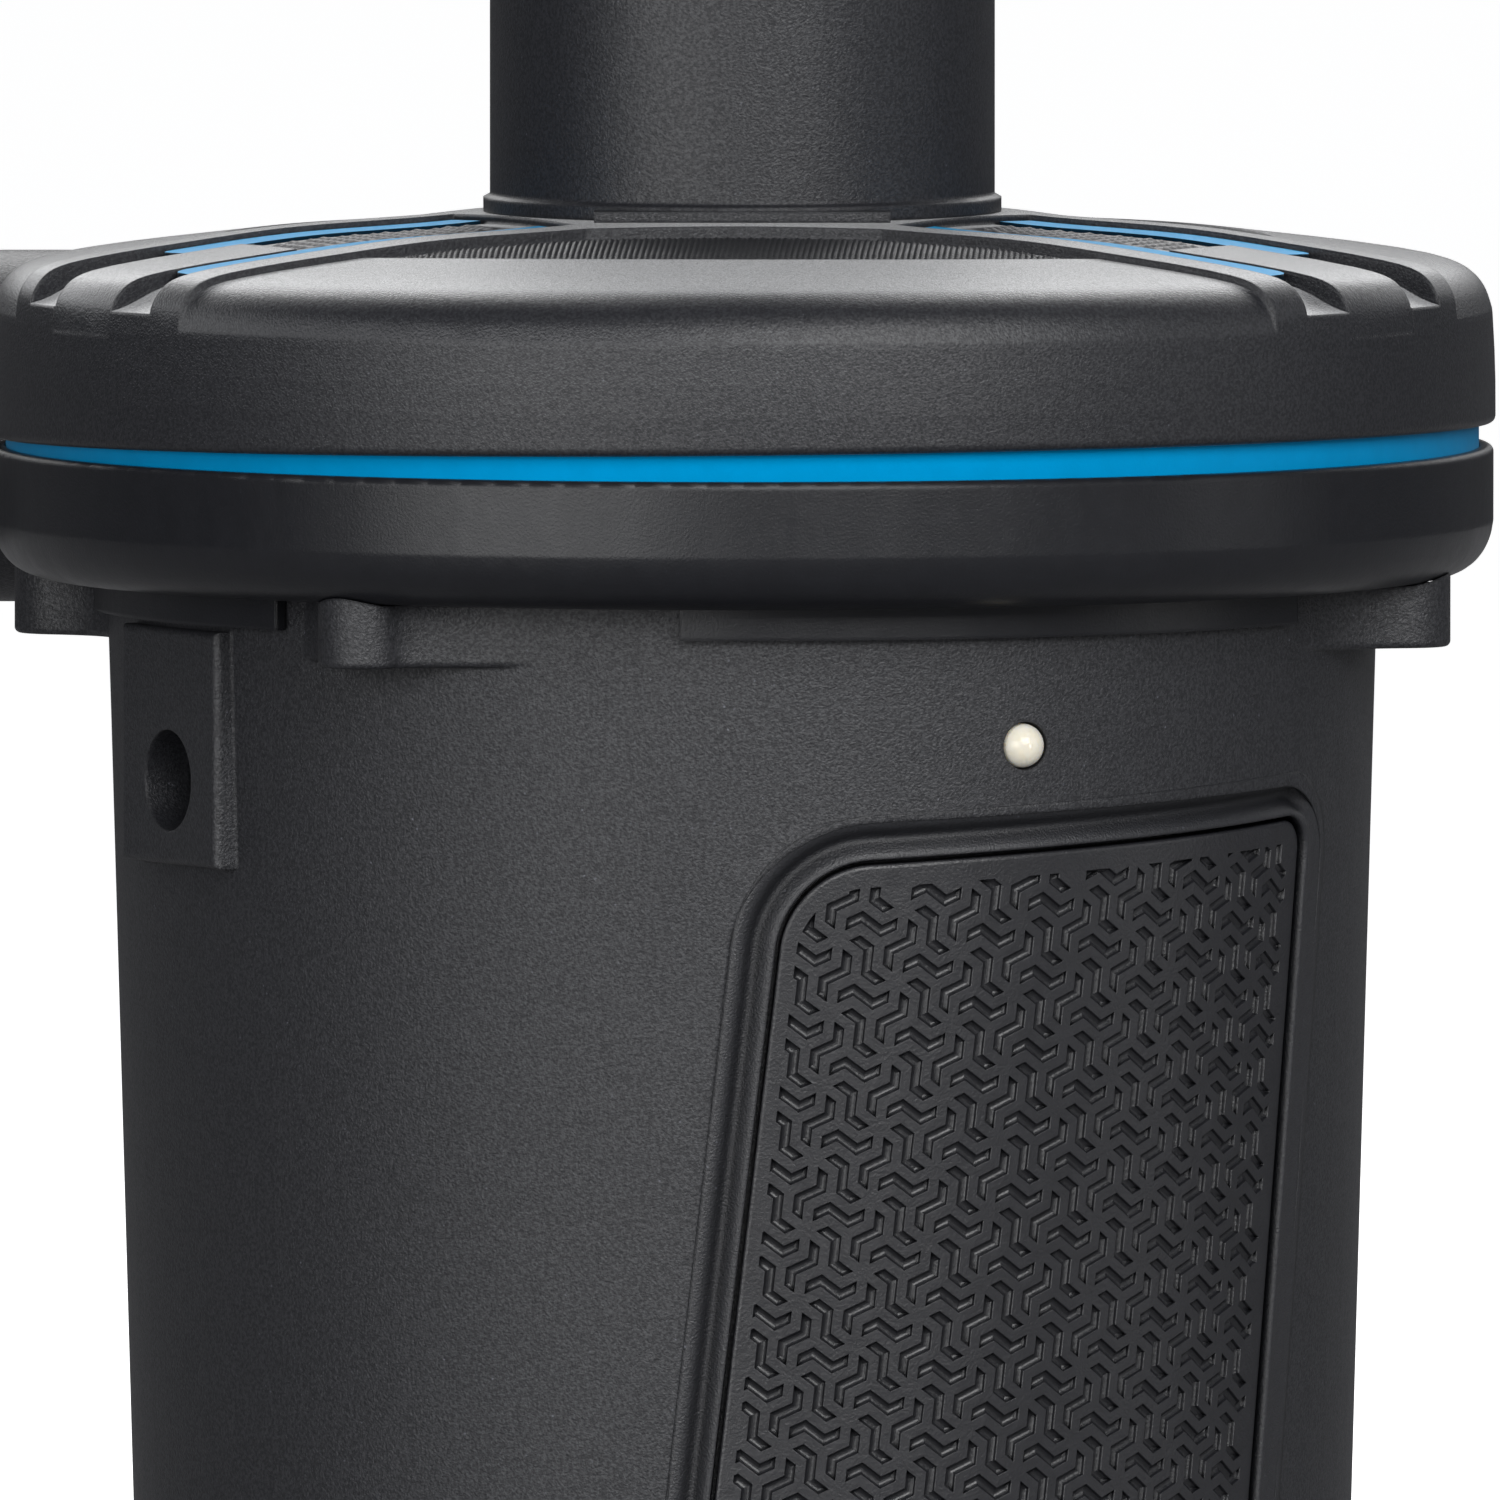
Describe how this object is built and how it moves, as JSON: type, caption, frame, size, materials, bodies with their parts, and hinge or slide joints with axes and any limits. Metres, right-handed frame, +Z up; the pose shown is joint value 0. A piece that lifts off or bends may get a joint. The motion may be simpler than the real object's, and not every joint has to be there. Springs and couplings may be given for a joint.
{
  "type": "rechargeable air pump",
  "caption": "Hand-held rechargeable air pump: round blower head with blue trim, top port with nozzle, side outlet, tapered grip body with rocker switch and charging socket.",
  "frame": {"origin": "on the pump's vertical axis, at the underside of the foot pad", "axes": "+Z up along the body's axis towards the port; -Y is the front with the charge lamp; the side outlet points along -X"},
  "size_m": [0.128, 0.104, 0.208],
  "materials": {
    "black_textured": "moulded, fine spark-eroded grain",
    "black_matte": "moulded, matt with a soft sheen",
    "black_satin": "moulded, satin smooth",
    "blue_trim": "moulded, semi-gloss cyan blue",
    "grip_rubber": "soft rubber, engraved zigzag pattern",
    "foot_rubber": "soft rubber",
    "lamp": "milky diffused lamp",
    "steel": "zinc-plated",
    "motor_steel": "plated can",
    "brass": "tinned contact",
    "copper": "enamelled winding",
    "ferrite": "sintered",
    "graphite": "carbon brush",
    "impeller_plastic": "natural nylon",
    "white_plastic": "moulded",
    "cell_sleeve": "shrink sleeve",
    "board": "solder-mask green",
    "component": "moulded package",
    "foam": "closed-cell foam",
    "felt": "felt",
    "wire_red": "pvc sleeve",
    "wire_black": "pvc sleeve"
  },
  "bodies": {
    "housing": {"body_tub": "black_textured", "lower_shell": "black_satin", "upper_shell": "black_matte", "accent_ring": "blue_trim", "accent_strips": "blue_trim", "intake_port": "black_matte", "intake_guard": "black_matte", "outlet_spout": "black_matte", "grip_pad_right": "grip_rubber", "grip_pad_left": "grip_rubber", "motor_can": "motor_steel", "motor_end_cap": "white_plastic", "motor_terminals": "brass", "motor_bushes": "brass", "motor_magnets": "ferrite", "motor_brushes": "graphite", "brush_springs": "brass", "motor_screws": "steel", "shaft_seal": "felt", "head_screws": "steel", "battery_cells": "cell_sleeve", "cell_links": "steel", "battery_tray": "white_plastic", "battery_pad": "foam", "circuit_board": "board", "board_components": "component", "charge_jack": "component", "jack_pin": "brass", "charge_led": "lamp", "led_leads": "steel", "switch_frame": "black_satin", "switch_tabs": "brass", "wire_positive": "wire_red", "wire_negative": "wire_black", "base_cover": "black_textured", "foot_pad": "foot_rubber", "base_screws": "steel"},
    "rotor": {"impeller": "impeller_plastic", "impeller_nut": "steel", "motor_shaft": "steel", "armature_core": "steel", "armature_windings": "copper", "commutator": "copper"},
    "rocker": {"switch_rocker": "black_satin"},
    "nozzle": {"nozzle_adapter": "black_matte"}
  },
  "joints": [
    {"name": "rotor_spin", "type": "hinge", "parent": "housing", "child": "rotor", "pos_m": [0, 0, 0.12], "axis": [0, 0, 1], "continuous": true},
    {"name": "switch_rock", "type": "hinge", "parent": "housing", "child": "rocker", "pos_m": [0.02263, 0.03621, 0.092], "axis": [0.848, -0.5299, 0], "range_deg": [0, 14]},
    {"name": "nozzle_lift", "type": "slide", "parent": "housing", "child": "nozzle", "axis": [0, 0, 1], "range_m": [0, 0.03]}
  ]
}
